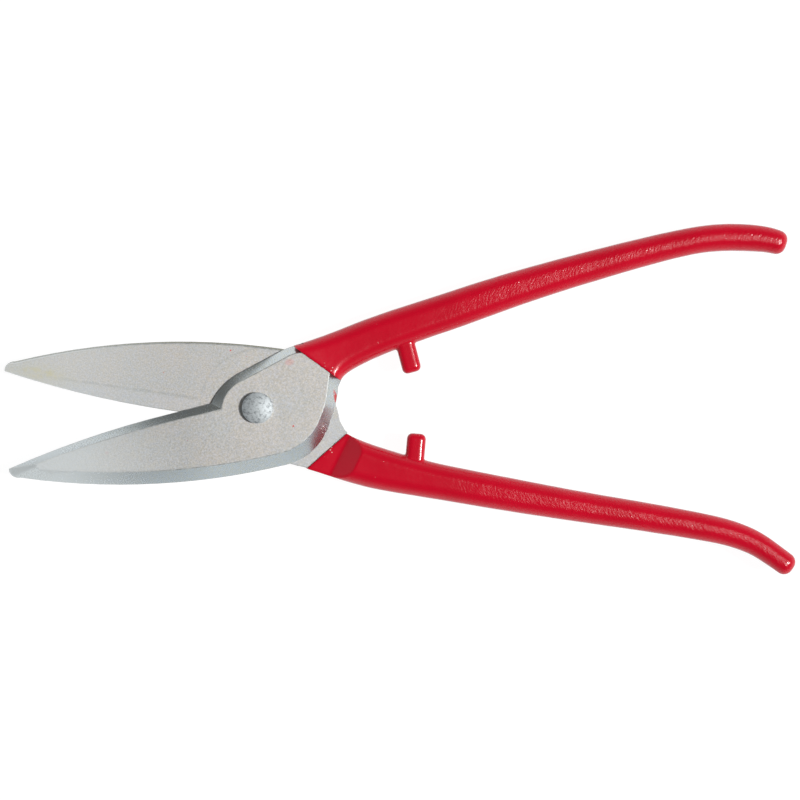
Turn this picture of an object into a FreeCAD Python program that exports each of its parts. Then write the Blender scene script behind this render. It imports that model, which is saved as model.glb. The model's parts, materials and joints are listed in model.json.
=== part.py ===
import FreeCAD, Part
import math
import os
from dataclasses import dataclass

# Straight-pattern tin snips with dipped handles. Millimetres.
#
# Both halves are built in one pose first: tool closed, handle along +X, blade along -X, pivot axis on
# Z, the shear plane between the halves at z = 0 and this half's blade above it. The rear half is then
# turned over about X, both are opened by half of OPENING, and everything is raised so that the
# pivot bolt's back end stands on z = 0.

V = FreeCAD.Vector
Z_AXIS = V(0, 0, 1)
ORIGIN = V(0, 0, 0)
TOLERANCE = 0.01           # two points nearer than this are the same

# ---- driving dimensions: pose and fits
OPENING = 21.8             # angle between the halves as the tool lies, degrees
FACE_GAP = 0.1             # between the two inner faces, after the pivot is adjusted
LUG_GAP = 0.3              # left between the coated stop lugs when the tool is shut
LUG_MEET_Y = -0.9          # height where the lugs meet; the front half's lug is the longer one
BORE_CLEARANCE = 0.05      # radial, journal in the rear half
NECK_CLEARANCE = 0.05      # per side, square neck in the front half
THREAD_CLEARANCE = 0.02    # radial, nut on bolt
WASHER_GAP = 0.05          # between the rear half and its washer

# ---- blades
BLADE_REACH = 94.9         # pivot axis to the tip
EDGE_Y = 5.6               # cutting edge above the centreline, near the pivot
EDGE_STRAIGHT_X = -30.8    # the edge is straight from the notch to here, then curves to the tip
TIP_Y = -0.1
NOSE_DROP = 1.9            # middle of the blunt nose below the tip
NOSE_LENGTH = 3.2          # the nose meets the spine this far behind the tip
NOSE_LOW_Y = -4.4          # and at this height
SPINE_Y = -23.0            # lowest line of the spine, under the pivot
SPINE_TANGENT_X = 5.2
BLADE_ROOT_X = -20.8       # the blade tapers in thickness from here to its tip
TIP_THICKNESS = 2.3
EDGE_BEVEL = 2.9           # width of the steep bevel behind the cutting edge
SPINE_BEVEL = 4.9          # width of the bevel along the spine
TIP_BEVEL = 10.5           # the flat cheek runs out this far behind the tip
CHEEK_TIP_WIDTH = 1.6      # and is this wide there
LAND = 1.0                 # upright strip under every bevel
BACK_CHAMFER = 0.9         # inner edge of the spine
HOLLOW_DEPTH = 0.12        # the inner face is relieved behind a flat strip along the edge
HOLLOW_FADE = 1.4          # over this width the relief falls to its depth
SEAT_RADIUS = 21.6         # the inner face stays flat this far round the pivot

# ---- boss
BOSS_THICKNESS = 5.6
BOSS_RADIUS = 22.0         # round right-hand side of the boss
BOSS_LOWER = -58.0         # directions from that round's centre to its middle and its end
BOSS_SIDE = -26.0
BOSS_BULGE = 0.5           # of the outline between the round side and the crotch
NOTCH_RISE = 0.1           # the edge rises this much to the notch, where the shoulder starts
NOTCH_X = -16.6
NOTCH_SHIFT = 1.15         # the bevels' notch lies this many shoulder bevels nearer the pivot
SHOULDER_MIDDLE = (-11.5, 10.5)
SHOULDER_TOP = (-4.0, 14.1)
SHOULDER_END = (13.2, 18.5)
SHOULDER_TURN = -48.0      # direction in which the shoulder's bevel falls back, middle and top
SHOULDER_IN = -72.0
SHOULDER_BEVEL = 3.1
CROTCH = (30.6, 0.6)       # boss corner between the handles
CROTCH_IN = 172.0          # direction in which its bevel falls back
CROTCH_BEVEL = 3.9

# ---- dipped root, where the boss turns into the handle
DIP_ANGLE = 40.5           # direction of the normal of the plane where the coat ends
DIP_TILT = 10.0            # it leans towards the blade on the outer side
FRONT_DIP = 26.7           # pivot axis to that plane at the shear plane, front half
REAR_DIP = 28.6            # and rear half, whose coat ends a little further out
ROOT_DISTANCE = 26.9       # pivot axis to the plane where the handle bar starts
ROOT_WIDTH = 21.0          # across the boss in that plane
ROOT_FLARE = 5.4           # the handle bar is this much thicker than the boss in that plane
ROOT_CORNER = 3.4
ROOT_OFFSET = -8.2         # middle of the root from the foot of the plane's normal
ROOT_BEVEL = 5.4           # the cheek is this much narrower there on either side
CORNER_TURN = 37.0         # direction of the boss's corner next to the shoulder, from that normal
CHEEK_ROUND = 0.9          # bulge of that corner, of the cheek
BACK_ROUND = 0.15          # and of the inner face
OUTER_TUCK = 0.5           # the boss plate runs this far into the handle, and is narrower there
INNER_TUCK = 1.9
TUCK_INSET = 0.7
RAMP_DISTANCE = 35.1       # pivot axis to the foot of the ramp under the handle
RAMP_ANGLE = 18.0          # direction of its normal
RAMP_SLOPE = 35.0          # steepness of the ramp

# ---- handles: steel core, then the coat over it
COAT = 0.9
CORE_ROOT_THICKNESS = 9.8
CORE_END_THICKNESS = 8.2
CORNER_SHARE = 0.42        # corner radius of the section as a share of its smaller side
END_ROUND_SHARE = 0.94     # end rounding as a share of that corner radius

# ---- stop lugs, forged with the handles
LUG_WIDTH = 5.2            # core
LUG_DEPTH = 6.0            # core, along the pivot axis
LUG_CORNER = 1.1
LUG_ROOT_Y = 14.0          # the lug starts this deep inside its handle


@dataclass(frozen=True)
class Half:
    """What differs between the two halves, given for the closed tool."""
    handle: tuple          # centre x, centre y and core width of the handle, root to end
    lug_x: float           # middle of the stop lug's end
    lug_lean: float        # degrees, its end towards the pivot
    lug_meet_y: float      # height of the plane where the lugs meet
    dip: float             # pivot axis to the plane where the coat ends


# the front handle curls in at its end, and the rear one, given as before it is turned over, flares out
FRONT = Half(
    handle=((37.7, 13.6, 13.5), (49.2, 15.5, 12.7), (65.2, 17.1, 12.2), (91.2, 19.4, 11.5),
            (123.2, 21.5, 9.9), (149.2, 22.3, 8.8), (166.2, 22.3, 8.2), (179.2, 21.2, 8.2),
            (190.2, 18.6, 8.1), (197.6, 16.0, 7.6), (202.9, 12.7, 6.4)),
    lug_x=58.6, lug_lean=1.0, lug_meet_y=LUG_MEET_Y, dip=FRONT_DIP)
REAR = Half(
    handle=((37.7, 14.4, 14.4), (49.2, 16.1, 13.3), (65.2, 17.3, 11.7), (91.2, 18.4, 10.7),
            (123.2, 19.3, 9.5), (149.2, 19.7, 8.8), (166.2, 20.2, 8.3), (179.2, 21.2, 7.8),
            (190.2, 24.0, 7.1), (203.2, 30.4, 6.6)),
    lug_x=59.4, lug_lean=-3.5, lug_meet_y=-LUG_MEET_Y, dip=REAR_DIP)

# ---- pivot fasteners
JOURNAL_RADIUS = 4.0
HEAD_OVERHANG = 1.70       # head past the journal
HEAD_HEIGHT = 3.4
HEAD_SIDE = 2.4            # upright side of the head under its dome
NECK_LENGTH = 3.0
NECK_CORNER = 0.8
THREAD_PITCH = 1.25
THREAD_DEPTH = 0.5
WASHER_BAND = 4.3          # width of the washer's ring
WASHER_THICKNESS = 1.5
WASHER_PLAY = 0.2          # radial, bolt in either washer
SPRING_BAND = 2.4          # width of the spring washer's ring
SPRING_THICKNESS = 1.9
SPRING_SLIT = 1.0
SPRING_SLANT = 20.0
NUT_WALL = 2.5             # from the thread to the flats
NUT_THICKNESS = 4.2
NUT_CHAMFER_ANGLE = 30.0
BOLT_PROUD = 1.2           # bolt end past the nut
BOLT_END_CHAMFER = 0.6

# ---- worked out from the above
EDGE_TIP = (-BLADE_REACH, TIP_Y)
NOSE_MIDDLE = (0.1 - BLADE_REACH, TIP_Y - NOSE_DROP)
NOSE_LOW_X = NOSE_LENGTH - BLADE_REACH
SPINE_RISE = NOSE_LOW_Y - SPINE_Y
SPINE_RADIUS = ((NOSE_LOW_X - SPINE_TANGENT_X) ** 2 + SPINE_RISE ** 2) / (2 * SPINE_RISE)
CHEEK_NOSE = (TIP_BEVEL - BLADE_REACH, TIP_Y - CHEEK_TIP_WIDTH)
CHEEK_TIP = (CHEEK_NOSE[0] + CHEEK_TIP_WIDTH / 2, CHEEK_NOSE[1] + CHEEK_TIP_WIDTH / 2)
CHEEK_LOW_X = CHEEK_NOSE[0] + 0.6
ROOT_THICKNESS = BOSS_THICKNESS + ROOT_FLARE
NECK_SIDE = 2 * JOURNAL_RADIUS
HEAD_RADIUS = JOURNAL_RADIUS + HEAD_OVERHANG
WASHER_BORE = JOURNAL_RADIUS + WASHER_PLAY
WASHER_RADIUS = WASHER_BORE + WASHER_BAND
SPRING_RADIUS = WASHER_BORE + SPRING_BAND
NUT_FLATS = 2 * (JOURNAL_RADIUS + NUT_WALL)
FACE_Z = FACE_GAP / 2
LAND_Z = FACE_Z + LAND
REAR_BACK = -BOSS_THICKNESS
WASHER_TOP = REAR_BACK - WASHER_GAP
SPRING_TOP = WASHER_TOP - WASHER_THICKNESS
NUT_TOP = SPRING_TOP - SPRING_THICKNESS
NUT_BOTTOM = NUT_TOP - NUT_THICKNESS
BOLT_END = NUT_BOTTOM - BOLT_PROUD
PAST = 60.0                # how far a cutting block reaches past what it cuts


def line(a, b):
    return Part.LineSegment(a, b).toShape()


def arc(a, middle, b):
    return Part.Arc(a, middle, b).toShape()


def prism(points, bottom, top):
    """Upright solid over a polygon given as (x, y) pairs."""
    corners = [V(x, y, bottom) for x, y in points]
    return Part.Face(Part.makePolygon(corners + corners[:1])).extrude(V(0, 0, top - bottom))


def direction(angle):
    turn = math.radians(angle)
    return V(math.cos(turn), math.sin(turn), 0)


def beyond(distance, angle, tilt):
    """Block that holds everything past a steep plane, given where it cuts z = 0 and its direction."""
    block = Part.makeBox(6 * PAST, 6 * PAST, 2 * PAST, V(distance, -3 * PAST, -PAST))
    block.rotate(V(distance, 0, 0), V(0, 1, 0), -tilt)
    block.rotate(ORIGIN, Z_AXIS, angle)
    return block


def spine_y(x, inset=0.0):
    """Height of the spine at x; inset moves it into the blade."""
    radius = SPINE_RADIUS - inset
    return SPINE_Y + SPINE_RADIUS - math.sqrt(radius ** 2 - (x - SPINE_TANGENT_X) ** 2)


def cheek_z(x):
    """Height of the outer face, which falls from the blade's root to its tip."""
    share = (BLADE_ROOT_X - x) / (BLADE_ROOT_X - EDGE_TIP[0])
    return BOSS_THICKNESS - share * (BOSS_THICKNESS - TIP_THICKNESS)


def blade_wire(height, edge_y, tip, nose, low_x, inset):
    """Closed blade outline; height gives z at each x, inset is how far the spine moves in."""
    def at(x, y):
        return V(x, y, height(x))

    def on_spine(x):
        return at(x, spine_y(x, inset))
    middle_x = (EDGE_STRAIGHT_X + tip[0]) / 2
    middle_y = edge_y - (edge_y - tip[1]) / 4
    return Part.Wire([
        line(at(BLADE_ROOT_X, edge_y), at(EDGE_STRAIGHT_X, edge_y)),
        arc(at(EDGE_STRAIGHT_X, edge_y), at(middle_x, middle_y), at(*tip)),
        arc(at(*tip), at(*nose), on_spine(low_x)),
        arc(on_spine(low_x), on_spine((low_x + BLADE_ROOT_X) / 2), on_spine(BLADE_ROOT_X)),
        line(on_spine(BLADE_ROOT_X), at(BLADE_ROOT_X, edge_y)),
    ])


def blade():
    """Blade without its boss: base with a chamfered back, then the bevels up to the cheek."""
    def face(x):
        return FACE_Z

    def land(x):
        return LAND_Z
    bottom = blade_wire(face, EDGE_Y, EDGE_TIP, NOSE_MIDDLE, NOSE_LOW_X, BACK_CHAMFER)
    middle = blade_wire(land, EDGE_Y, EDGE_TIP, NOSE_MIDDLE, NOSE_LOW_X, 0)
    top = blade_wire(cheek_z, EDGE_Y - EDGE_BEVEL, CHEEK_TIP, CHEEK_NOSE, CHEEK_LOW_X, SPINE_BEVEL)
    return stack(bottom, middle, top)


def stack(bottom, middle, top):
    """Solid from three outlines of the same number of edges, one above the other."""
    return Part.makeLoft([bottom, middle], True, True).fuse(Part.makeLoft([middle, top], True, True))


def root_point(along, past=0.0):
    """Point in the plane where the handle bar starts, or past it."""
    return direction(DIP_ANGLE) * (ROOT_DISTANCE + past) + direction(DIP_ANGLE + 90) * along


def boss_wire(z, edge_inset, shoulder_inset, round_inset, crotch_inset, root_inset, corner_round):
    """Closed boss outline at one height, moved in by the widths of its bevels."""
    def lift(point):
        return V(point.x, point.y, z)

    def shoulder(point, angle):
        return lift(V(point[0], point[1], 0) + direction(angle) * shoulder_inset)
    edge_y = EDGE_Y - edge_inset
    root_edge = lift(V(BLADE_ROOT_X, edge_y, 0))
    notch = lift(V(NOTCH_X + NOTCH_SHIFT * shoulder_inset, edge_y + NOTCH_RISE, 0))
    top = shoulder(SHOULDER_TOP, SHOULDER_IN)
    end = shoulder(SHOULDER_END, SHOULDER_IN)
    high, low = ROOT_OFFSET + ROOT_WIDTH / 2 - root_inset, ROOT_OFFSET - ROOT_WIDTH / 2 + root_inset
    outer, inner = lift(root_point(high)), lift(root_point(low))
    corner = (end + outer) * 0.5 + direction(DIP_ANGLE + CORNER_TURN) * corner_round
    outer_tuck = lift(root_point(high - TUCK_INSET, OUTER_TUCK))
    inner_tuck = lift(root_point(low, INNER_TUCK))
    crotch = lift(V(CROTCH[0], CROTCH[1], 0) + direction(CROTCH_IN) * crotch_inset)
    centre = V(SPINE_TANGENT_X, SPINE_Y + BOSS_RADIUS, 0)
    side = lift(centre + direction(BOSS_SIDE) * (BOSS_RADIUS - crotch_inset))
    lower = lift(centre + direction(BOSS_LOWER) * (BOSS_RADIUS - round_inset))
    bulge = (crotch + side) * 0.5 + direction(BOSS_SIDE) * BOSS_BULGE

    def on_spine(x):
        return V(x, spine_y(x, round_inset), z)
    bottom, root_spine = on_spine(SPINE_TANGENT_X), on_spine(BLADE_ROOT_X)
    return Part.Wire([
        line(root_edge, notch),
        arc(notch, shoulder(SHOULDER_MIDDLE, SHOULDER_TURN), top),
        line(top, end),
        arc(end, corner, outer),
        line(outer, outer_tuck),
        line(outer_tuck, inner_tuck),
        line(inner_tuck, inner),
        line(inner, crotch),
        arc(crotch, bulge, side),
        arc(side, lower, bottom),
        arc(bottom, on_spine((SPINE_TANGENT_X + BLADE_ROOT_X) / 2), root_spine),
        line(root_spine, root_edge),
    ])


def boss():
    """Plate round the pivot, bevelled like the blade."""
    bottom = boss_wire(FACE_Z, 0, 0, BACK_CHAMFER, 0, 0, BACK_ROUND)
    middle = boss_wire(LAND_Z, 0, 0, 0, 0, 0, BACK_ROUND)
    top = boss_wire(BOSS_THICKNESS, EDGE_BEVEL, SHOULDER_BEVEL, SPINE_BEVEL, CROTCH_BEVEL, ROOT_BEVEL,
                    CHEEK_ROUND)
    return stack(bottom, middle, top)


def section(centre, angle, width, thickness, r):
    """Oblong wire with corners of radius r, across a handle that runs at the given angle."""
    side = direction(angle + 90)
    half_w, half_t = width / 2, thickness / 2
    knee = r * (1 - math.sqrt(0.5))

    def at(s, z):
        return centre + side * s + V(0, 0, z)
    edges = []
    for a, b in ((1, 1), (-1, 1), (-1, -1), (1, -1)):
        ends = [at(a * half_w, b * (half_t - r)), at(a * (half_w - r), b * half_t)]
        if a * b < 0:
            ends.reverse()
        edges.append(arc(ends[0], at(a * (half_w - knee), b * (half_t - knee)), ends[1]))
    wire_edges = []
    for i, corner in enumerate(edges):
        following = edges[(i + 1) % 4]
        wire_edges.append(corner)
        wire_edges.append(line(corner.Vertexes[-1].Point, following.Vertexes[0].Point))
    return Part.Wire(wire_edges)


def handle(stations, grow=0.0):
    """Handle bar lofted through its stations; grow is the coat's thickness over the core."""
    length = stations[-1][0] - stations[0][0]
    wires = [section(root_point(ROOT_OFFSET, -grow), DIP_ANGLE, ROOT_WIDTH + 2 * grow,
                     ROOT_THICKNESS + 2 * grow, ROOT_CORNER + grow)]
    for i, (x, y, width) in enumerate(stations):
        before, after = stations[max(i - 1, 0)], stations[min(i + 1, len(stations) - 1)]
        angle = math.degrees(math.atan2(after[1] - before[1], after[0] - before[0]))
        share = (x - stations[0][0]) / length
        thickness = CORE_ROOT_THICKNESS + share * (CORE_END_THICKNESS - CORE_ROOT_THICKNESS)
        corner = CORNER_SHARE * min(width, thickness) + grow
        centre = V(x, y, 0)
        if after == stations[i]:
            centre = centre + direction(angle) * grow
        wires.append(section(centre, angle, width + 2 * grow, thickness + 2 * grow, corner))
    bar = Part.makeLoft(wires, True, False)
    rim = [e for e in bar.Edges if all(wires[-1].distToShape(Part.Vertex(v.Point))[0] < TOLERANCE
                                       for v in e.Vertexes)]
    return bar.makeFillet(END_ROUND_SHARE * corner, rim)


def lug(half, grow=0.0):
    """Stop lug standing on the inner side of a handle, rounded at its free corners."""
    side = LUG_WIDTH / 2 + grow
    end_y = half.lug_meet_y + LUG_GAP / 2 + COAT - grow
    block = Part.makeBox(2 * side, LUG_ROOT_Y - end_y, LUG_DEPTH + 2 * grow,
                         V(half.lug_x - side, end_y, -LUG_DEPTH / 2 - grow))
    free = [e for e in block.Edges if abs(e.CenterOfGravity.y - end_y) < TOLERANCE
            or abs(e.tangentAt(e.FirstParameter).y) > 1 - TOLERANCE]
    block = block.makeFillet(LUG_CORNER + grow, free)
    block.rotate(V(half.lug_x, end_y, 0), Z_AXIS, half.lug_lean)
    return block


def lap_cut(drop=0.0):
    """What is missing below a half's inner face, up to the ramp; drop leaves room for the coat."""
    slope = math.radians(RAMP_SLOPE)
    foot = RAMP_DISTANCE - drop * math.tan(slope / 2)
    top = FACE_Z - drop
    points = [V(-3 * PAST, 0, top), V(foot, 0, top),
              V(foot + PAST / math.tan(slope), 0, top - PAST), V(-3 * PAST, 0, top - PAST)]
    block = Part.Face(Part.makePolygon(points + points[:1])).extrude(V(0, 4 * PAST, 0))
    block.translate(V(0, -2 * PAST, 0))
    block.rotate(ORIGIN, Z_AXIS, RAMP_ANGLE)
    return block


def hollow():
    """Shallow relief in the inner face, between a strip along the cutting edge and the pivot's seat."""
    far, below, deep = -2 * PAST, FACE_Z - LAND, FACE_Z + HOLLOW_DEPTH
    points = [V(far, 0, below), V(far, 0, FACE_Z), V(far, -HOLLOW_FADE, deep), V(far, -PAST, deep),
              V(far, -PAST, below)]
    block = Part.Face(Part.makePolygon(points + points[:1])).extrude(V(-far, 0, 0))
    growth = HOLLOW_FADE / HOLLOW_DEPTH
    seat = Part.makeCone(SEAT_RADIUS - growth * LAND, SEAT_RADIUS + HOLLOW_FADE, deep - below,
                         V(0, 0, below))
    return block.cut(seat)


def forged_half(half):
    """Blade, boss, handle core and lug in one steel piece, before its pivot hole is made."""
    body = blade().fuse(boss()).fuse(handle(half.handle)).fuse(lug(half)).cut(lap_cut())
    return body.cut(hollow()).removeSplitter()


def grip(half, steel):
    """Dipped coat over everything past its dip plane."""
    skin = handle(half.handle, COAT).fuse(lug(half, COAT)).cut(lap_cut(COAT))
    return skin.common(beyond(half.dip, DIP_ANGLE, DIP_TILT)).cut(steel)


def square_bar(side, bottom, top):
    """Square bar on the pivot axis with rounded corners."""
    bar = Part.makeBox(side, side, top - bottom, V(-side / 2, -side / 2, bottom))
    return bar.makeFillet(NECK_CORNER, [e for e in bar.Edges if abs(e.tangentAt(0).z) > 1 - TOLERANCE])


def square_hole():
    return square_bar(NECK_SIDE + 2 * NECK_CLEARANCE, -PAST, PAST)


def tube(outer, inner, top, thickness):
    """Ring about the pivot axis, given by its radii, its top and its thickness."""
    ring = Part.makeCylinder(outer, thickness, V(0, 0, top - thickness))
    return ring.cut(Part.makeCylinder(inner, thickness, V(0, 0, top - thickness)))


def pivot_bolt():
    """Domed head, square neck, journal and threaded end."""
    head_z = BOSS_THICKNESS
    side_z, top_z = head_z + HEAD_SIDE, head_z + HEAD_HEIGHT
    rise = HEAD_HEIGHT - HEAD_SIDE
    dome_radius = (HEAD_RADIUS ** 2 + rise ** 2) / (2 * rise)
    middle_r = HEAD_RADIUS / 2
    middle_z = top_z - dome_radius + math.sqrt(dome_radius ** 2 - middle_r ** 2)
    root = JOURNAL_RADIUS - THREAD_DEPTH
    profile = [line(V(0, 0, head_z), V(HEAD_RADIUS, 0, head_z)),
               line(V(HEAD_RADIUS, 0, head_z), V(HEAD_RADIUS, 0, side_z)),
               arc(V(HEAD_RADIUS, 0, side_z), V(middle_r, 0, middle_z), V(0, 0, top_z)),
               line(V(0, 0, top_z), V(0, 0, head_z))]
    head = Part.Face(Part.Wire(profile)).revolve(ORIGIN, Z_AXIS, 360)
    neck = square_bar(NECK_SIDE, head_z - NECK_LENGTH, head_z)
    turns = int((SPRING_TOP - BOLT_END - BOLT_END_CHAMFER) / THREAD_PITCH)
    outline = [V(0, 0, BOLT_END), V(root, 0, BOLT_END), V(JOURNAL_RADIUS, 0, BOLT_END + BOLT_END_CHAMFER)]
    for turn in range(turns):
        crest = BOLT_END + BOLT_END_CHAMFER + turn * THREAD_PITCH
        outline.append(V(root, 0, crest + THREAD_PITCH / 2))
        outline.append(V(JOURNAL_RADIUS, 0, crest + THREAD_PITCH))
    outline += [V(JOURNAL_RADIUS, 0, head_z), V(0, 0, head_z)]
    shank = Part.Face(Part.makePolygon(outline + outline[:1])).revolve(ORIGIN, Z_AXIS, 360)
    return head.fuse(neck).fuse(shank).removeSplitter()


def spring_washer():
    """Split washer, slit at a slant."""
    ring = tube(SPRING_RADIUS, WASHER_BORE, SPRING_TOP, SPRING_THICKNESS)
    slit = Part.makeBox(SPRING_RADIUS, SPRING_SLIT, 3 * SPRING_THICKNESS,
                        V(WASHER_BORE / 2, -SPRING_SLIT / 2, -1.5 * SPRING_THICKNESS))
    slit.rotate(ORIGIN, V(1, 0, 0), SPRING_SLANT)
    slit.translate(V(0, 0, SPRING_TOP - SPRING_THICKNESS / 2))
    return ring.cut(slit)


def pivot_nut():
    """Thin hexagon nut with its corners turned down on both sides."""
    corner = NUT_FLATS / math.sqrt(3)
    points = [(corner * math.cos(math.radians(60 * i)), corner * math.sin(math.radians(60 * i)))
              for i in range(6)]
    fall = (corner - NUT_FLATS / 2) * math.tan(math.radians(NUT_CHAMFER_ANGLE))
    turned = [V(0, 0, NUT_BOTTOM), V(NUT_FLATS / 2, 0, NUT_BOTTOM), V(corner, 0, NUT_BOTTOM + fall),
              V(corner, 0, NUT_TOP - fall), V(NUT_FLATS / 2, 0, NUT_TOP), V(0, 0, NUT_TOP)]
    spun = Part.Face(Part.makePolygon(turned + turned[:1])).revolve(ORIGIN, Z_AXIS, 360)
    bore = Part.makeCylinder(JOURNAL_RADIUS + THREAD_CLEARANCE, NUT_THICKNESS, V(0, 0, NUT_BOTTOM))
    return prism(points, NUT_BOTTOM, NUT_TOP).common(spun).cut(bore)


def front_place(shape):
    """Open a closed-tool shape with the front half and stand the tool on its bolt end."""
    placed = shape.copy()
    placed.rotate(ORIGIN, Z_AXIS, OPENING / 2)
    placed.translate(V(0, 0, -BOLT_END))
    return placed


def rear_place(shape):
    """Turn a shape over about X, then open it with the rear half."""
    placed = shape.copy()
    placed.rotate(ORIGIN, V(1, 0, 0), 180)
    placed.rotate(ORIGIN, Z_AXIS, -OPENING / 2)
    placed.translate(V(0, 0, -BOLT_END))
    return placed


def build():
    """All pieces where they lie, by name."""
    front_steel = forged_half(FRONT)
    rear_steel = forged_half(REAR)
    bore = Part.makeCylinder(JOURNAL_RADIUS + BORE_CLEARANCE, 2 * PAST, V(0, 0, -PAST))
    return {
        "front_half": front_place(front_steel.cut(square_hole())),
        "rear_half": rear_place(rear_steel.cut(bore)),
        "front_grip": front_place(grip(FRONT, front_steel)),
        "rear_grip": rear_place(grip(REAR, rear_steel)),
        "pivot_bolt": front_place(pivot_bolt()),
        "pivot_washer": front_place(tube(WASHER_RADIUS, WASHER_BORE, WASHER_TOP, WASHER_THICKNESS)),
        "spring_washer": front_place(spring_washer()),
        "pivot_nut": front_place(pivot_nut()),
    }


os.makedirs("parts", exist_ok=True)
for name, shape in build().items():
    shape.exportStep(os.path.join("parts", name + ".step"))
    print(name, "solids", len(shape.Solids), "valid", shape.isValid(), "volume", round(shape.Volume, 1))
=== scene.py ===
"""Straight-pattern tin snips with dipped handles: their looks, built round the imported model.

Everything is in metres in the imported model's frame: +X towards the handles' ends, +Z out of the
front half's cheek, the pivot on the Z axis and the end of its bolt at z = 0. Each half also has a
frame of its own, the closed pose: handle along +X, blade along -X, cutting edge towards +Y.
"""

import sys

import json
import logging
import math
from dataclasses import dataclass, field
from enum import Enum
from typing import TypeAlias

import bmesh
import bpy
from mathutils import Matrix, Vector

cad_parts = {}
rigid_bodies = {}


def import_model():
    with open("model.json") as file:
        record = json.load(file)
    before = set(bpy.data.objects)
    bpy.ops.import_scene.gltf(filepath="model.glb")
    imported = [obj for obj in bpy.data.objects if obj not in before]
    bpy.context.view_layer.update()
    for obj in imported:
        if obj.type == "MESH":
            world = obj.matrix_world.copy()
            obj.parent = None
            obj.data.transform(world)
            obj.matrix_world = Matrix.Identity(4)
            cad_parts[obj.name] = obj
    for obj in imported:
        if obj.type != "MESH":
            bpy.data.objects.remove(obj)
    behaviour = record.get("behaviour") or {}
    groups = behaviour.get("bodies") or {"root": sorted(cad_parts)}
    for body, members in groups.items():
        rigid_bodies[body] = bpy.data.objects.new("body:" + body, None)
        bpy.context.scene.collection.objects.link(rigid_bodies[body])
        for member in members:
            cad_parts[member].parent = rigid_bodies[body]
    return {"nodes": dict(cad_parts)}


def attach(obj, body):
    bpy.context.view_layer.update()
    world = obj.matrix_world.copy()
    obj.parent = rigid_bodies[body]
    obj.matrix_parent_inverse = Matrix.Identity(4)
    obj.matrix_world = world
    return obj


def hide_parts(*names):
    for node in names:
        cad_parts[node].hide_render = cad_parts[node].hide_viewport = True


LOG = logging.getLogger("snips")
MM = 0.001
HALF_OPENING = math.radians(10.9)  # each half is turned this far from the closed pose
MERGE_WITHIN = 0.002 * MM

Colour: TypeAlias = tuple[float, float, float, float]
Span: TypeAlias = tuple[float, float]
Number: TypeAlias = "float | Signal"


class Side(Enum):
    """The two halves of the tool; the front one carries the bolt's head."""

    FRONT = "front"
    REAR = "rear"

    @property
    def flip(self) -> float:
        """Sign of y that takes this half to its own frame."""
        return 1.0 if self is Side.FRONT else -1.0

    @property
    def inner(self) -> float:
        """Sign of z towards the other half."""
        return -1.0 if self is Side.FRONT else 1.0


class Slot(Enum):
    """The record's material slots."""

    STEEL = "forged_steel"
    COAT = "red_coat"
    BOLT = "bolt_steel"
    PLATED = "plated_steel"


# ---------------------------------------------------------------- shader maths


class Signal:
    """A value in a material's nodes that takes Python's arithmetic."""

    def __init__(self, graph: "Graph", socket: bpy.types.NodeSocket) -> None:
        """Wrap one output socket.

        Args:
            graph: The node graph that it belongs to.
            socket: The output socket.
        """
        self.graph = graph
        self.socket = socket

    def _math(self, operation: str, first: Number, second: Number) -> "Signal":
        """Add one Math node.

        Args:
            operation: The Math node's operation.
            first: Its first value.
            second: Its second value.

        Returns:
            The node's result.
        """
        return self.graph.node("ShaderNodeMath", {"operation": operation}, {0: first, 1: second})

    def __add__(self, other: Number) -> "Signal":
        """Sum."""
        return self._math("ADD", self, other)

    def __radd__(self, other: Number) -> "Signal":
        """Sum, reflected."""
        return self._math("ADD", other, self)

    def __sub__(self, other: Number) -> "Signal":
        """Difference."""
        return self._math("SUBTRACT", self, other)

    def __rsub__(self, other: Number) -> "Signal":
        """Difference, reflected."""
        return self._math("SUBTRACT", other, self)

    def __mul__(self, other: Number) -> "Signal":
        """Product."""
        return self._math("MULTIPLY", self, other)

    def __rmul__(self, other: Number) -> "Signal":
        """Product, reflected."""
        return self._math("MULTIPLY", other, self)

    def __truediv__(self, other: Number) -> "Signal":
        """Quotient."""
        return self._math("DIVIDE", self, other)

    def __pow__(self, other: Number) -> "Signal":
        """Power."""
        return self._math("POWER", self, other)

    def __abs__(self) -> "Signal":
        """Size without sign."""
        return self._math("ABSOLUTE", self, 0.0)

    def smooth(self, low: float, high: float) -> "Signal":
        """Rise smoothly from 0 at low to 1 at high; low may be the larger one.

        Args:
            low: Value that gives 0.
            high: Value that gives 1.

        Returns:
            The mask.
        """
        return self.graph.node(
            "ShaderNodeMapRange",
            {"interpolation_type": "SMOOTHSTEP"},
            {"Value": self, "From Min": low, "From Max": high, "To Min": 0.0, "To Max": 1.0},
        )


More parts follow.
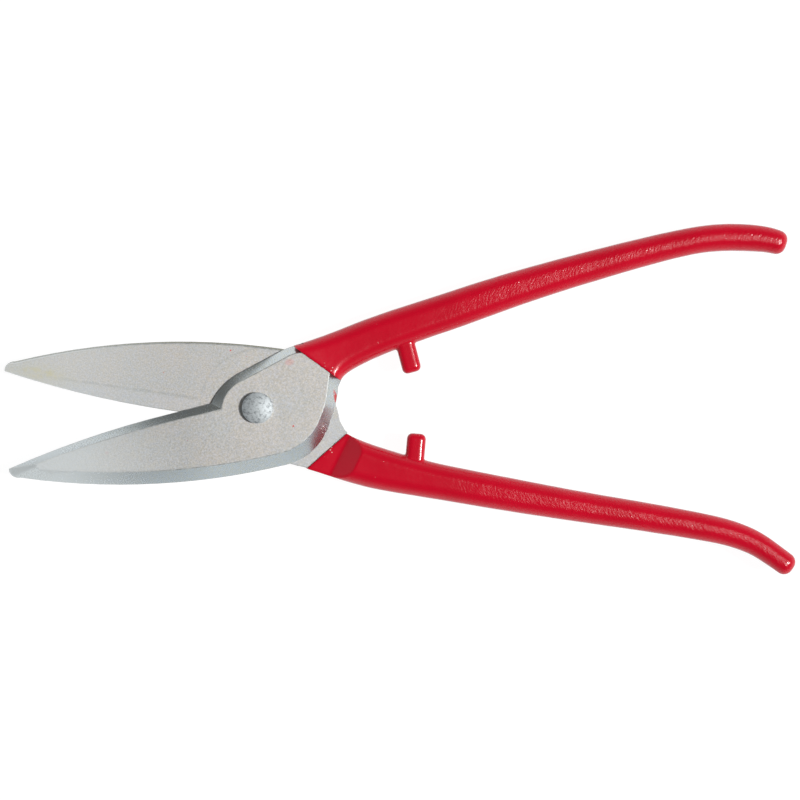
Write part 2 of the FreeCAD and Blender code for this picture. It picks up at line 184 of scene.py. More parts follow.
class Graph:
    """The nodes of one material, with its Principled shader."""

    def __init__(self, name: str) -> None:
        """Start an empty material.

        Args:
            name: The material's name.
        """
        self.material = bpy.data.materials.new(name)
        self.material.use_nodes = True
        self.tree = self.material.node_tree
        self.tree.nodes.clear()
        self.shader = self.tree.nodes.new("ShaderNodeBsdfPrincipled")
        output = self.tree.nodes.new("ShaderNodeOutputMaterial")
        self.tree.links.new(self.shader.outputs[0], output.inputs["Surface"])

    def node(
        self,
        kind: str,
        settings: dict[str, object] | None = None,
        inputs: dict[int | str, object] | None = None,
        output: int | str = 0,
    ) -> Signal:
        """Add any node.

        Args:
            kind: The node's type.
            settings: What is set on the node before its sockets.
            inputs: Values or signals by socket.
            output: The socket to return.

        Returns:
            That output.
        """
        made = self.tree.nodes.new(kind)
        for key, value in (settings or {}).items():
            setattr(made, key, value)
        for key, value in (inputs or {}).items():
            if isinstance(value, Signal):
                self.tree.links.new(value.socket, made.inputs[key])
            else:
                made.inputs[key].default_value = value
        return Signal(self, made.outputs[output])

    def set(self, **values: object) -> None:
        """Give the shader its values.

        Args:
            **values: A value or signal by socket, with underscores for spaces.
        """
        for key, value in values.items():
            socket = self.shader.inputs[key.replace("_", " ")]
            if isinstance(value, Signal):
                self.tree.links.new(value.socket, socket)
            else:
                socket.default_value = value

    def place(
        self, flip: float = 1.0, turn: float = 0.0, scale: tuple[float, ...] = (1, 1, 1)
    ) -> Signal:
        """Place on the object, turned into a half's own frame.

        Args:
            flip: Sign given to y before the turn.
            turn: Angle about Z, in radians.
            scale: Stretch after the turn.

        Returns:
            The place as a vector.
        """
        raw = self.node("ShaderNodeTexCoord", output="Object")
        turned = self.node(
            "ShaderNodeMapping",
            {},
            {"Vector": raw, "Rotation": (0, 0, turn), "Scale": (1, flip, 1)},
        )
        if scale == (1, 1, 1):
            return turned
        return self.node("ShaderNodeVectorMath", {"operation": "MULTIPLY"}, {0: turned, 1: scale})

    def parts(self, vector: Signal) -> tuple[Signal, Signal, Signal]:
        """Split a vector.

        Args:
            vector: The vector.

        Returns:
            Its x, y and z.
        """
        first = self.node("ShaderNodeSeparateXYZ", {}, {0: vector})
        outputs = first.socket.node.outputs
        return first, Signal(self, outputs[1]), Signal(self, outputs[2])

    def facing(self) -> tuple[Signal, Signal, Signal]:
        """The surface's own direction, split."""
        return self.parts(self.node("ShaderNodeTexCoord", output="Normal"))

    def noise(self, place: Signal, size: float, detail: float = 3.0, rough: float = 0.55) -> Signal:
        """Cloudy noise from 0 to 1.

        Args:
            place: Where it is read.
            size: Width of its largest clouds, in the place's unit.
            detail: Octaves.
            rough: Strength of the finer ones.

        Returns:
            The noise.
        """
        return self.node(
            "ShaderNodeTexNoise",
            {},
            {"Vector": place, "Scale": 1 / size, "Detail": detail, "Roughness": rough},
        )

    def dots(self, place: Signal, pitch: float, radius: float) -> Signal:
        """Scattered round dots.

        Args:
            place: Where they are read.
            pitch: Mean distance between them.
            radius: Radius of each.

        Returns:
            A mask, 1 in the dots.
        """
        cells = {"Vector": place, "Scale": 1 / pitch}
        near = self.node("ShaderNodeTexVoronoi", {"feature": "F1"}, cells)
        return near.smooth(radius / pitch, 0.5 * radius / pitch)

    def speck(self, place: Signal, speck: "Speck") -> Signal:
        """Soft oval about a point of a half's own frame, for any z.

        Args:
            place: Where it is read.
            speck: Its middle, half axes and strength.

        Returns:
            A mask, as strong as the speck in the middle.
        """
        x, y, _ = self.parts(place)
        across = (x - speck.centre[0] * MM) / (speck.size[0] * MM)
        along = (y - speck.centre[1] * MM) / (speck.size[1] * MM)
        return (across * across + along * along).smooth(1.0, 0.15) * speck.strength

    def mix(self, share: Number, first: object, second: object, blend: str = "MIX") -> Signal:
        """Mix two colours.

        Args:
            share: How much of the second.
            first: A colour or signal.
            second: A colour or signal.
            blend: How they are mixed.

        Returns:
            The colour.
        """
        return self.node(
            "ShaderNodeMix",
            {"data_type": "RGBA", "blend_type": blend, "clamp_factor": True},
            {0: share, 6: first, 7: second},
            output=2,
        )

    def bump(self, height: Signal, depth: float, under: Signal | None = None) -> Signal:
        """Bump from a height of 0 to 1.

        Args:
            height: The height.
            depth: What 1 stands for, in metres.
            under: A bump that this one lies on.

        Returns:
            The normal.
        """
        inputs: dict[int | str, object] = {"Height": height, "Distance": depth, "Strength": 1.0}
        if under is not None:
            inputs["Normal"] = under
        return self.node("ShaderNodeBump", {}, inputs)


# ---------------------------------------------------------------- finishes


@dataclass(frozen=True)
class Speck:
    """A small mark on one half, in millimetres of that half's own frame."""

    centre: tuple[float, float]
    size: tuple[float, float]
    strength: float = 0.9


SPLASHES = {
    Side.FRONT: (
        Speck((11.2, -9.6), (0.45, 0.4)),
        Speck((15.4, 13.6), (2.2, 1.5), 0.22),
        Speck((-28.0, -5.5), (0.2, 0.2)),
        Speck((-58.0, -3.0), (0.9, 0.7), 0.22),
        Speck((28.8, -4.3), (0.9, 5.0)),
    ),
    Side.REAR: (
        Speck((-13.2, -19.6), (0.42, 0.35)),
        Speck((-7.0, -18.2), (0.2, 0.2)),
        Speck((-36.5, -8.0), (0.22, 0.2)),
    ),
}
TIP_STAIN = Speck((-81.5, -1.2), (9.5, 2.6), 0.7)
STAIN_HALO = Speck((-82.0, -0.6), (17.0, 6.0), 0.16)
# Painted highlights: near-white spots laid into the coat's colour on a few bubbles at the dip line.
GLINT_SIZE = (0.34, 0.26)
DIP_GLINTS = {
    Side.FRONT: (Speck((29.6, 6.9), GLINT_SIZE, 0.8), Speck((30.3, 7.9), GLINT_SIZE, 0.8)),
    Side.REAR: (
        Speck((28.6, 11.6), GLINT_SIZE, 0.8),
        Speck((29.3, 12.4), GLINT_SIZE, 0.8),
        Speck((28.9, 10.6), GLINT_SIZE, 0.8),
    ),
}


@dataclass(frozen=True)
class ForgedSteel:
    """Forged steel of one half: cheeks blasted matt, bevels ground, a seat round the pivot."""

    side: Side
    cheek: Colour = (0.505, 0.487, 0.462, 1)
    cheek_cool: Colour = (0.478, 0.482, 0.474, 1)
    ground: Colour = (0.535, 0.575, 0.572, 1)
    streak: Colour = (0.7, 0.72, 0.72, 1)
    shadowed: Colour = (0.13, 0.14, 0.135, 1)
    # Dark olive laid on the chamfers that tilt towards the other half; the name gives no cause, it
    # is only this darkening.
    scale: Colour = (0.25, 0.248, 0.20, 1)
    honed: Colour = (0.53, 0.56, 0.60, 1)
    rubbed: Colour = (0.2, 0.22, 0.23, 1)
    # Painted reflection of the white floor, laid on the steel towards the blade's tip.
    tip_reflection: Colour = (0.70, 0.75, 0.765, 1)
    stain: Colour = (0.50, 0.45, 0.22, 1)
    paint: Colour = (0.62, 0.05, 0.05, 1)
    speckles: tuple[Colour, Colour] = ((0.68, 0.67, 0.63, 1), (1.32, 1.33, 1.38, 1))
    tints: tuple[Colour, Colour] = ((1.0, 0.96, 0.86, 1), (0.94, 0.99, 1.1, 1))
    grain: float = 0.55 * MM
    cloud_size: float = 17 * MM
    streak_size: float = 1.5 * MM
    bevel_tilt: Span = (0.996, 0.975)
    chamfer_low: Span = (0.25, 0.45)
    chamfer_high: Span = (0.93, 0.86)
    tip_run: Span = (-26 * MM, -80 * MM)
    throat_front: Span = (-56 * MM, -36 * MM)
    throat_back: Span = (-1 * MM, -13 * MM)
    throat_foot: Span = (-4 * MM, 0.0)
    seat: float = 21.6 * MM
    seat_blur: float = 1 * MM
    ring_width: Span = (0.6 * MM, 0.1 * MM)
    ring_run: Span = (-2 * MM, -6 * MM)
    seam_drop: float = 0.3 * MM
    seam_width: Span = (0.9 * MM, 0.1 * MM)
    seam_start: Span = (-20 * MM, -24 * MM)
    seam_end: Span = (-88 * MM, -66 * MM)
    strip_edge: Span = (-0.8 * MM, 0.8 * MM)
    inside_tilt: Span = (0.2, 0.6)
    wear_size: float = 5 * MM
    stain_size: float = 2.2 * MM
    ragged_size: float = 1.1 * MM
    metal: float = 0.80
    matt: float = 0.57
    pitting: float = 0.05 * MM
    fine_pitting: float = 0.012 * MM

    @property
    def tip_share(self) -> float:
        """How strongly the painted reflection of the white floor lightens the blade's tip."""
        return 0.75 if self.side is Side.FRONT else 0.3

    def make(self) -> bpy.types.Material:
        """Build the finish of cheeks and bevels.

        Returns:
            The material.
        """
        g = Graph(f"{self.side.value}_forged_steel")
        place = g.place(self.side.flip, -HALF_OPENING)
        x, y, _ = g.parts(place)
        _, _, facing = g.facing()
        bevelled = abs(facing).smooth(*self.bevel_tilt)
        grain = g.noise(place, self.grain, 5.0, 0.72)
        fine = g.noise(place, self.grain * 0.3, 2.0, 0.6)
        cloud = g.noise(place, self.cloud_size, 3.0, 0.5)
        colour = g.mix(cloud.smooth(0.35, 0.7), self.cheek, self.cheek_cool)
        colour = g.mix(bevelled, colour, self.ground)
        colour = self._grained(g, place, colour, grain * 0.7 + fine * 0.3, bevelled)

        # Painted shade: near the pivot the cutting bevel is darkened towards the shadowed colour,
        # standing in for the dark reflection of the rear blade beneath it.
        throat = bevelled * x.smooth(*self.throat_front) * x.smooth(*self.throat_back)
        colour = g.mix(throat * y.smooth(*self.throat_foot) * 0.5, colour, self.shadowed)
        inwards = facing * self.side.inner
        # The chamfers that tilt towards the other half are darkened to olive.
        chamfer = inwards.smooth(*self.chamfer_low) * inwards.smooth(*self.chamfer_high)
        colour = g.mix(chamfer * 0.92, colour, self.scale)
        colour = self._worn_inside(g, place, colour)
        colour = self._marked(g, place, colour)
        # Painted reflection: towards the blade's tip the steel is lightened and made less metallic,
        # standing in for the white floor that it mirrors.
        tip = x.smooth(*self.tip_run)
        colour = g.mix(tip * self.tip_share, colour, self.tip_reflection)

        g.set(Base_Color=colour, Metallic=self.metal + bevelled * (0.18 - tip * 0.62) - tip * 0.15)
        g.set(Roughness=self.matt - bevelled * 0.30 + (cloud - 0.5) * 0.08 + (grain - 0.5) * 0.10)
        pitted = g.bump(grain * (1 - bevelled * 0.85), self.pitting)
        g.set(Normal=g.bump(fine, self.fine_pitting, pitted))
        return g.material

    def _grained(
        self, g: Graph, place: Signal, colour: Signal, speckle: Signal, bevelled: Signal
    ) -> Signal:
        """Blasted grain on the cheeks and grinding streaks on the bevels.

        Args:
            g: The material's graph.
            place: Place in the half's own frame.
            colour: The colour so far.
            speckle: The grain's noise.
            bevelled: Mask of the bevels.

        Returns:
            The colour with them.
        """
        shade = g.mix(speckle.smooth(0.25, 0.75), *self.speckles)
        colour = g.mix(1 - bevelled * 0.6, colour, g.mix(1.0, colour, shade, "MULTIPLY"))
        tint = g.noise(place, self.grain * 1.6, 2.0, 0.5).smooth(0.35, 0.65)
        colour = g.mix(0.5, colour, g.mix(tint, *self.tints), "MULTIPLY")
        across = g.place(self.side.flip, -HALF_OPENING, (6, 0.6, 0.6))
        streaks = g.noise(across, self.streak_size, 4.0, 0.6).smooth(0.5, 0.8)
        return g.mix(bevelled * streaks * 0.15, colour, self.streak)

    def _worn_inside(self, g: Graph, place: Signal, colour: Signal) -> Signal:
        """Honed strip along the cutting edge of the inner face, with its seam and the seat's ring.

        Args:
            g: The material's graph.
            place: Place in the half's own frame.
            colour: The colour so far.

        Returns:
            The colour with them.
        """
        x, y, _ = g.parts(place)
        reach = (x * x + y * y) ** 0.5
        worn = g.noise(place, self.wear_size, 3.0, 0.6)
        ring = abs(reach - self.seat).smooth(*self.ring_width) * x.smooth(*self.ring_run)
        seam = abs(y + self.seam_drop + (worn - 0.5) * MM).smooth(*self.seam_width)
        seam = seam * x.smooth(*self.seam_start) * x.smooth(*self.seam_end)
        beyond_seat = reach.smooth(self.seat - self.seat_blur, self.seat + self.seat_blur)
        strip = y.smooth(*self.strip_edge) * beyond_seat
        inside = (g.facing()[2] * self.side.inner).smooth(*self.inside_tilt)
        colour = g.mix(inside * strip * 0.22, colour, self.honed)
        lines = (ring * 0.22 + seam * 0.25) * worn.smooth(0.25, 0.6)
        return g.mix(inside * lines, colour, self.rubbed)

    def _marked(self, g: Graph, place: Signal, colour: Signal) -> Signal:
        """Specks of coat colour, and the stain near the rear blade's tip.

        Args:
            g: The material's graph.
            place: Place in the half's own frame.
            colour: The colour so far.

        Returns:
            The colour with them.
        """
        if self.side is Side.REAR:
            torn = g.noise(place, self.stain_size, 4.0, 0.65).smooth(0.42, 0.62)
            colour = g.mix(g.speck(place, TIP_STAIN) * torn, colour, self.stain)
            colour = g.mix(g.speck(place, STAIN_HALO), colour, self.stain)
        ragged = g.noise(place, self.ragged_size, 3.0, 0.7).smooth(0.3, 0.5)
        for splash in SPLASHES[self.side]:
            colour = g.mix(g.speck(place, splash) * ragged, colour, self.paint)
        return colour


@dataclass(frozen=True)
class WornEdge:
    """Eased edge of one half, rubbed a little smoother than the faces beside it."""

    side: Side
    shades: tuple[Colour, Colour] = ((0.36, 0.37, 0.36, 1), (0.55, 0.56, 0.55, 1))
    # Painted reflection of the white floor, laid on the eased edges towards the blade's tip.
    tip_reflection: Colour = (0.74, 0.77, 0.77, 1)
    tip_run: Span = (-30 * MM, -80 * MM)
    wear_size: float = 1.6 * MM
    grain: float = 0.55 * MM
    pitting: float = 0.02 * MM

    def make(self) -> bpy.types.Material:
        """Build the finish.

        Returns:
            The material.
        """
        g = Graph(f"{self.side.value}_worn_edge")
        place = g.place(self.side.flip, -HALF_OPENING)
        worn = g.noise(place, self.wear_size, 4.0, 0.65)
        # Painted reflection: towards the blade's tip the edges are lightened and made less
        # metallic, standing in for the white floor that they mirror.
        tip = g.parts(place)[0].smooth(*self.tip_run)
        colour = g.mix(tip * 0.6, g.mix(worn.smooth(0.3, 0.7), *self.shades), self.tip_reflection)
        g.set(Base_Color=colour, Metallic=0.72 - tip * 0.5, Roughness=0.46 + worn * 0.2)
        g.set(Normal=g.bump(g.noise(place, self.grain, 3.0, 0.6), self.pitting))
        return g.material


@dataclass(frozen=True)
class DippedCoat:
    """Glossy plastisol dip: orange peel all over, wrinkles along the grip, bubbles at the root, a
    few with painted highlights.
    """

    side: Side
    red: Colour = (0.555, 0.0016, 0.0185, 1)
    deep: Colour = (0.51, 0.0014, 0.016, 1)
    bubble: Colour = (0.66, 0.16, 0.16, 1)
    # Near-white colour of the painted highlights on bubbles at the dip line.
    painted_glint: Colour = (0.82, 0.6, 0.58, 1)
    gloss: float = 0.16
    ior: float = 1.45
    cloud_size: float = 22 * MM
    peel_size: float = 1.5 * MM
    peel_depth: float = 0.035 * MM
    wrinkle_slant: float = math.radians(38)
    wrinkle_stretch: float = 0.36
    wrinkle_size: float = 0.62 * MM
    wrinkle_depth: float = 0.13 * MM
    wrinkle_run: Span = (55 * MM, 105 * MM)
    pit_patches: float = 9 * MM
    pit_pitch: float = 4.2 * MM
    pit_radius: float = 0.30 * MM
    bubble_patches: float = 5 * MM
    bubble_pitch: float = 1.7 * MM
    bubble_radius: float = 0.26 * MM
    bubble_run: Span = (62 * MM, 34 * MM)
    bubble_depth: float = 0.12 * MM
    root_run: Span = (50 * MM, 36 * MM)

    def make(self) -> bpy.types.Material:
        """Build the finish.

        Returns:
            The material.
        """
        g = Graph(f"{self.side.value}_dipped_coat")
        place = g.place(self.side.flip, -HALF_OPENING)
        x, _, _ = g.parts(place)
        cloud = g.noise(place, self.cloud_size, 3.0, 0.5)
        peel = g.noise(place, self.peel_size, 2.5, 0.5)
        where_pitted = g.noise(place, self.pit_patches, 1.0, 0.5).smooth(0.52, 0.64)
        pits = g.dots(place, self.pit_pitch, self.pit_radius) * where_pitted
        where_bubbly = g.noise(place, self.bubble_patches, 1.0, 0.5).smooth(0.56, 0.66)
        bubbles = g.dots(place, self.bubble_pitch, self.bubble_radius) * where_bubbly
        bubbles = bubbles * x.smooth(*self.bubble_run)

        colour = g.mix(cloud.smooth(0.3, 0.7), self.red, self.deep)
        colour = g.mix(bubbles * 0.7, colour, self.bubble)
        # Painted highlights on a few bubbles at the dip line.
        for painted_glint in DIP_GLINTS[self.side]:
            colour = g.mix(g.speck(place, painted_glint), colour, self.painted_glint)
        dulled = x.smooth(*self.root_run) * 0.03
        g.set(Base_Color=colour, Metallic=0.0, IOR=self.ior)
        g.set(Roughness=self.gloss + cloud * 0.05 + peel * 0.04 + dulled)
        skin = g.bump(peel, self.peel_depth, self._wrinkled(g, x))
        g.set(Normal=g.bump((bubbles - pits) * 0.5 + 0.5, self.bubble_depth, skin))
        return g.material

    def _wrinkled(self, g: Graph, x: Signal) -> Signal:
        """Fine slanting wrinkles that grow along the grip.

        Args:
            g: The material's graph.
            x: Place along the handle.

        Returns:
            The normal with them.
        """
        stretch = (1.0, self.wrinkle_stretch, 1.0)
        slanted = g.place(self.side.flip, self.wrinkle_slant - HALF_OPENING, stretch)
        wrinkle = g.noise(slanted, self.wrinkle_size, 2.0, 0.5)
        return g.bump(wrinkle * (0.08 + x.smooth(*self.wrinkle_run) * 0.92), self.wrinkle_depth)


@dataclass(frozen=True)
class BoltSteel:
    """Zinc-plated bolt steel with a head dulled and mottled by tumbling."""

    bright: Colour = (0.52, 0.555, 0.57, 1)
    dull: Colour = (0.235, 0.255, 0.265, 1)
    speckles: tuple[Colour, Colour] = ((0.85, 0.85, 0.85, 1), (1.1, 1.1, 1.1, 1))
    mottle_size: float = 1.1 * MM
    mottle_depth: float = 0.11 * MM
    fine_size: float = 0.25 * MM
    fine_depth: float = 0.012 * MM

    def make(self) -> bpy.types.Material:
        """Build the finish.

        Returns:
            The material.
        """
        g = Graph("mottled_bolt_steel")
        place = g.place()
        mottle = g.noise(place, self.mottle_size, 5.0, 0.7)
        fine = g.noise(place, self.fine_size, 3.0, 0.6)
        colour = g.mix(mottle.smooth(0.34, 0.54), self.dull, self.bright)
        colour = g.mix(1.0, colour, g.mix(fine, *self.speckles), "MULTIPLY")
        g.set(Base_Color=colour, Metallic=0.8, Roughness=0.54 + mottle * 0.14)
        g.set(Normal=g.bump(fine, self.fine_depth, g.bump(mottle, self.mottle_depth)))
        return g.material


@dataclass(frozen=True)
class PlatedSteel:
    """Plated nut and washers: bright, faintly yellow and blue, scuffed on the rims."""

    blue: Colour = (0.62, 0.66, 0.70, 1)
    yellow: Colour = (0.70, 0.67, 0.56, 1)
    scuffed: Colour = (0.42, 0.42, 0.41, 1)
    tint_size: float = 6 * MM
    lathe_size: float = 0.5 * MM
    lathe_depth: float = 0.02 * MM
    rim_tilt: Span = (0.95, 0.4)

    def make(self) -> bpy.types.Material:
        """Build the finish.

        Returns:
            The material.
        """
        g = Graph("plated_steel")
        tint = g.noise(g.place(), self.tint_size, 3.0, 0.55)
        lathe = g.noise(g.place(scale=(0.3, 0.3, 3.0)), self.lathe_size, 3.0, 0.6)
        _, _, facing = g.facing()
        rim = abs(facing).smooth(*self.rim_tilt)
        colour = g.mix(tint.smooth(0.35, 0.65), self.blue, self.yellow)
        colour = g.mix(rim * lathe.smooth(0.45, 0.7) * 0.5, colour, self.scuffed)
        g.set(Base_Color=colour, Metallic=1.0, Roughness=0.24 + lathe * 0.16 + rim * 0.08)
        g.set(Normal=g.bump(lathe, self.lathe_depth))
        return g.material


# ---------------------------------------------------------------- work on meshes


def deselect() -> None:
    """Leave nothing selected."""
    for thing in bpy.context.view_layer.objects:
        thing.select_set(False)
    bpy.context.view_layer.objects.active = None


def select(piece: bpy.types.Object) -> None:
    """Make one piece the only one selected, and active.

    Args:
        piece: The piece.
    """
    deselect()
    piece.select_set(True)
    bpy.context.view_layer.objects.active = piece


def merged_copy(node: bpy.types.Object, name: str) -> bpy.types.Object:
    """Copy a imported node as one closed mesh.

    Args:
        node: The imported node.
        name: The piece's name.

    Returns:
        The copy, merged, with nothing on it.
    """
    piece = bpy.data.objects.new(name, node.data.copy())
    bpy.context.scene.collection.objects.link(piece)
    piece.data.name = name
    piece.data.materials.clear()
    select(piece)
    bpy.ops.mesh.customdata_custom_splitnormals_clear()
    bpy.ops.object.mode_set(mode="EDIT")
    bpy.ops.mesh.select_all(action="SELECT")
    bpy.ops.mesh.remove_doubles(threshold=MERGE_WITHIN)
    bpy.ops.mesh.normals_make_consistent(inside=False)
    bpy.ops.object.mode_set(mode="OBJECT")
    return piece


def apply_modifier(piece: bpy.types.Object, kind: str, **settings: object) -> None:
    """Add a modifier, set it and apply it.

    Args:
        piece: The piece.
        kind: The modifier's type.
        **settings: Its settings.
    """
    select(piece)
    modifier = piece.modifiers.new(kind.title(), kind)
    for key, value in settings.items():
        setattr(modifier, key, value)
    bpy.ops.object.modifier_apply(modifier=modifier.name)


def clean(piece: bpy.types.Object, angle: float) -> None:
    """Join flat runs of triangles into faces.

    Args:
        piece: The piece.
        angle: Largest bend that counts as flat, in degrees.
    """
    select(piece)
    bpy.ops.object.mode_set(mode="EDIT")
    bpy.ops.mesh.select_all(action="SELECT")
    bpy.ops.mesh.dissolve_limited(angle_limit=math.radians(angle))
    bpy.ops.object.mode_set(mode="OBJECT")


def mark_ridges(piece: bpy.types.Object, angle: float) -> None:
    """Give the edges that stand out, but not the inner corners, their bevel weight.

    Args:
        piece: The piece.
        angle: Least bend of an edge that is eased, in degrees.
    """
    shape = bmesh.new()
    shape.from_mesh(piece.data)
    weight = shape.edges.layers.float.new("bevel_weight_edge")
    for edge in shape.edges:
        if edge.is_manifold and edge.calc_face_angle_signed() > math.radians(angle):
            edge[weight] = 1.0
    shape.to_mesh(piece.data)
    shape.free()


def smooth(piece: bpy.types.Object, angle: float) -> None:
    """Shade smooth where faces meet at a small angle.

    Args:
        piece: The piece.
        angle: Largest bend that is smoothed, in degrees.
    """
    select(piece)
    bpy.ops.object.shade_smooth_by_angle(angle=math.radians(angle), keep_sharp_edges=False)


def flatten_shading(piece: bpy.types.Object) -> None:
    """Let the large faces set the shading, so that flats stay flat beside eased edges."""
    apply_modifier(piece, "WEIGHTED_NORMAL", mode="FACE_AREA", weight=100, keep_sharp=True)


# ---------------------------------------------------------------- sub-assemblies


@dataclass
class Fitted:
    """A sub-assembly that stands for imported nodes."""

    nodes: dict[str, bpy.types.Object]

    def settle(self, piece: bpy.types.Object, body: str, slot: Slot, node: str) -> None:
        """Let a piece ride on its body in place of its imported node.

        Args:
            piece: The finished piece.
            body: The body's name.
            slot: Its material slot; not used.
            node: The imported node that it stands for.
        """
        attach(piece, body)
        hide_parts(node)
        LOG.info("%s: %d faces, rides on %s", piece.name, len(piece.data.polygons), body)


@dataclass
class SteelHalf(Fitted):
    """Blade, boss and handle core of one half, with its edges eased."""

    side: Side = Side.FRONT
    ease: float = 0.24 * MM
    flat: float = 0.4
    sharp: float = 24.0
    crease: float = 32.0

    def build(self) -> bpy.types.Object:
        """Make the half and dress it.

        Returns:
            The piece.
        """
        node = f"{self.side.value}_half"
        piece = merged_copy(self.nodes[node], f"{self.side.value}_steel")
        clean(piece, self.flat)
        piece.data.materials.append(ForgedSteel(self.side).make())
        piece.data.materials.append(WornEdge(self.side).make())
        mark_ridges(piece, self.sharp)
        apply_modifier(
            piece, "BEVEL", width=self.ease, segments=3, limit_method="WEIGHT", material=1,
            use_clamp_overlap=False, miter_outer="MITER_ARC",
        )
        smooth(piece, self.crease)
        flatten_shading(piece)
        self.settle(piece, self.side.value, Slot.STEEL, node)
        return piece


@dataclass
class Grip(Fitted):
    """Dipped coat of one handle, with a rounded rim and a slightly uneven skin."""

    side: Side = Side.FRONT
    grid: float = 0.42 * MM
    rounding: int = 3
    sag: float = 0.10 * MM
    sag_size: float = 7 * MM
    crease: float = 60.0

    def build(self) -> bpy.types.Object:
        """Make the coat and dress it.

        Returns:
            The piece.
        """
        node = f"{self.side.value}_grip"
        piece = merged_copy(self.nodes[node], f"{self.side.value}_coat")
        apply_modifier(piece, "REMESH", mode="VOXEL", voxel_size=self.grid, use_smooth_shade=True)
        apply_modifier(piece, "SMOOTH", factor=0.5, iterations=self.rounding)
        apply_modifier(
            piece, "DISPLACE", texture=self._sag(), strength=self.sag, mid_level=0.5,
            texture_coords="LOCAL",
        )
        smooth(piece, self.crease)
        piece.data.materials.append(DippedCoat(self.side).make())
        self.settle(piece, self.side.value, Slot.COAT, node)
        return piece

    def _sag(self) -> bpy.types.Texture:
        """Make the soft clouds that leave the coat's thickness uneven.

        Returns:
            The texture.
        """
        clouds = bpy.data.textures.new(f"{self.side.value}_sag", "CLOUDS")
        clouds.noise_scale = self.sag_size
        clouds.noise_depth = 1
        return clouds


@dataclass
class PivotSet(Fitted):
    """Bolt, washer, spring washer and nut."""

    ease: float = 0.14 * MM
    flat: float = 0.5
    sharp: float = 28.0
    crease: float = 35.0
    pieces: dict[str, Slot] = field(default_factory=lambda: {
        "pivot_bolt": Slot.BOLT, "pivot_washer": Slot.PLATED,
        "spring_washer": Slot.PLATED, "pivot_nut": Slot.PLATED,
    })

    def build(self) -> None:
        """Make the four pieces and dress them."""
        finishes = {Slot.BOLT: BoltSteel().make(), Slot.PLATED: PlatedSteel().make()}
        for node, slot in self.pieces.items():
            piece = merged_copy(self.nodes[node], node + "_finished")
            clean(piece, self.flat)
            apply_modifier(
                piece, "BEVEL", width=self.ease, segments=2, limit_method="ANGLE",
                angle_limit=math.radians(self.sharp), use_clamp_overlap=True,
            )
            smooth(piece, self.crease)
            flatten_shading(piece)
            piece.data.materials.append(finishes[slot])
            self.settle(piece, Side.FRONT.value, slot, node)


# ---------------------------------------------------------------- studio


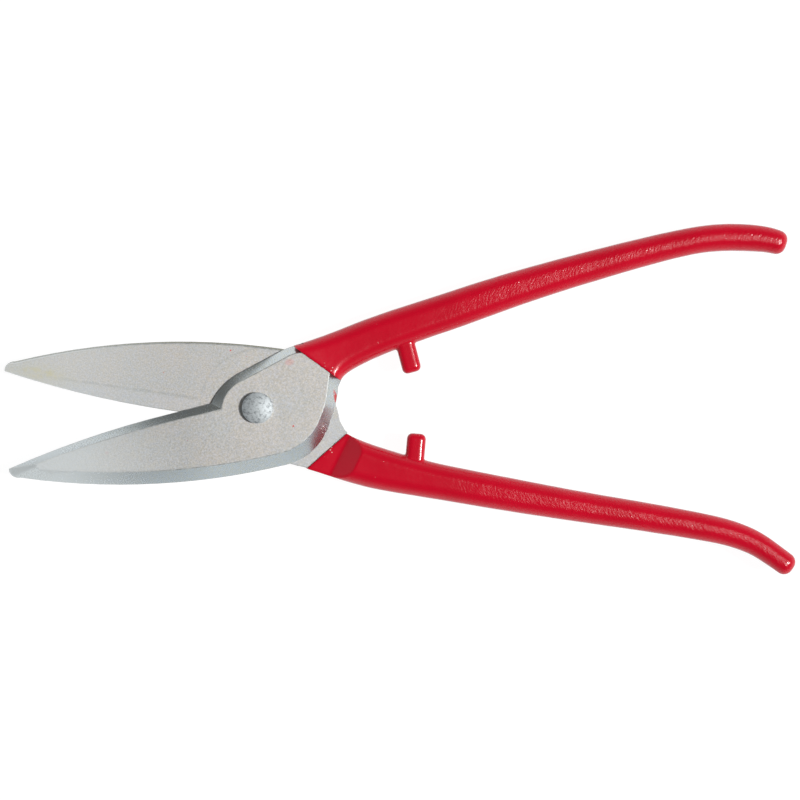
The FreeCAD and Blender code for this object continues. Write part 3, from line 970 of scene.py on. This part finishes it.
@dataclass
class Studio:
    """Floor, light and camera."""

    view_width: float = 0.296
    view_centre: tuple[float, float] = (0.0525, 0.0004)
    view_roll: float = math.radians(2.75)
    view_height: float = 1.2
    mid_height: float = 14.45 * MM
    sensor: float = 36.0
    floor_size: float = 6.0
    floor_grey: Colour = (0.1, 0.1, 0.1, 1)
    floor_glow: float = 0.96
    sky: tuple[tuple[float, Colour], ...] = (
        (0.0, (0.95, 0.97, 1, 1)),
        (0.2, (0.62, 0.66, 0.70, 1)),
        (0.5, (0.22, 0.23, 0.24, 1)),
        (0.8, (0.07, 0.07, 0.07, 1)),
    )
    key_elevation: float = math.radians(60)
    key_azimuth: float = math.radians(-6)
    key_breadth: float = math.radians(7)
    key_strength: float = 2.9
    key_colour: tuple[float, float, float] = (1.0, 0.99, 0.975)
    strip_size: tuple[float, float] = (0.32, 0.10)
    strip_at: tuple[float, float] = (0.415, 0.105)
    strip_power: float = 0.66

    def build(self) -> None:
        """Make everything round the object."""
        self.add_floor()
        self.add_world()
        self.add_key()
        self.add_strips()
        self.add_camera()
        bpy.context.scene.view_settings.view_transform = "Standard"

    def add_floor(self) -> None:
        """Plain white floor under the bolt's end."""
        deselect()
        bpy.ops.mesh.primitive_grid_add(x_subdivisions=4, y_subdivisions=4, size=self.floor_size)
        floor = bpy.context.active_object
        floor.name = "floor"
        g = Graph("floor_white")
        g.set(Base_Color=self.floor_grey, Roughness=0.9)
        g.set(Emission_Color=(1, 1, 1, 1), Emission_Strength=self.floor_glow)
        floor.data.materials.append(g.material)

    def add_world(self) -> None:
        """White surroundings that darken overhead."""
        world = bpy.data.worlds.new("studio")
        bpy.context.scene.world = world
        world.use_nodes = True
        tree = world.node_tree
        tree.nodes.clear()
        place = tree.nodes.new("ShaderNodeTexCoord")
        split = tree.nodes.new("ShaderNodeSeparateXYZ")
        ramp = tree.nodes.new("ShaderNodeValToRGB")
        background = tree.nodes.new("ShaderNodeBackground")
        output = tree.nodes.new("ShaderNodeOutputWorld")
        tree.links.new(place.outputs["Generated"], split.inputs[0])
        tree.links.new(split.outputs[2], ramp.inputs[0])
        tree.links.new(ramp.outputs[0], background.inputs[0])
        tree.links.new(background.outputs[0], output.inputs[0])
        elements = ramp.color_ramp.elements
        while len(elements) < len(self.sky):
            elements.new(1.0)
        for element, (at, colour) in zip(elements, self.sky):
            element.position = at
            element.color = colour

    def add_key(self) -> None:
        """Broad key light, far off towards the handles' ends."""
        lamp = bpy.data.lights.new("key", "SUN")
        lamp.energy = self.key_strength
        lamp.angle = self.key_breadth
        lamp.color = self.key_colour
        holder = bpy.data.objects.new("key", lamp)
        bpy.context.scene.collection.objects.link(holder)
        level = math.cos(self.key_elevation)
        aim = Vector((
            level * math.cos(self.key_azimuth),
            level * math.sin(self.key_azimuth),
            math.sin(self.key_elevation),
        ))
        holder.location = aim
        holder.rotation_euler = aim.to_track_quat("Z", "Y").to_euler()

    def add_strips(self) -> None:
        """Dim soft box over each handle, which draws a line along its ridge."""
        for side in Side:
            lamp = bpy.data.lights.new(f"{side.value}_strip", "AREA")
            lamp.shape = "RECTANGLE"
            lamp.size, lamp.size_y = self.strip_size
            lamp.energy = self.strip_power
            holder = bpy.data.objects.new(f"{side.value}_strip", lamp)
            bpy.context.scene.collection.objects.link(holder)
            holder.location = (self.strip_at[0], self.strip_at[1] * side.flip, self.view_height)

    def add_camera(self) -> None:
        """Camera straight above the tool."""
        camera = bpy.data.cameras.new("camera")
        camera.sensor_width = self.sensor
        camera.lens = self.sensor * (self.view_height - self.mid_height) / self.view_width
        holder = bpy.data.objects.new("camera", camera)
        bpy.context.scene.collection.objects.link(holder)
        holder.location = (*self.view_centre, self.view_height)
        holder.rotation_euler = (0, 0, -self.view_roll)
        bpy.context.scene.camera = holder


def main() -> None:
    """Build the tool, then the studio round it."""
    logging.basicConfig(level=logging.INFO, format="%(message)s", stream=sys.stdout)
    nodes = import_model()["nodes"]
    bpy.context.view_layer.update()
    for side in Side:
        SteelHalf(nodes, side).build()
        Grip(nodes, side).build()
    PivotSet(nodes).build()
    Studio().build()


if __name__ == "__main__":
    main()
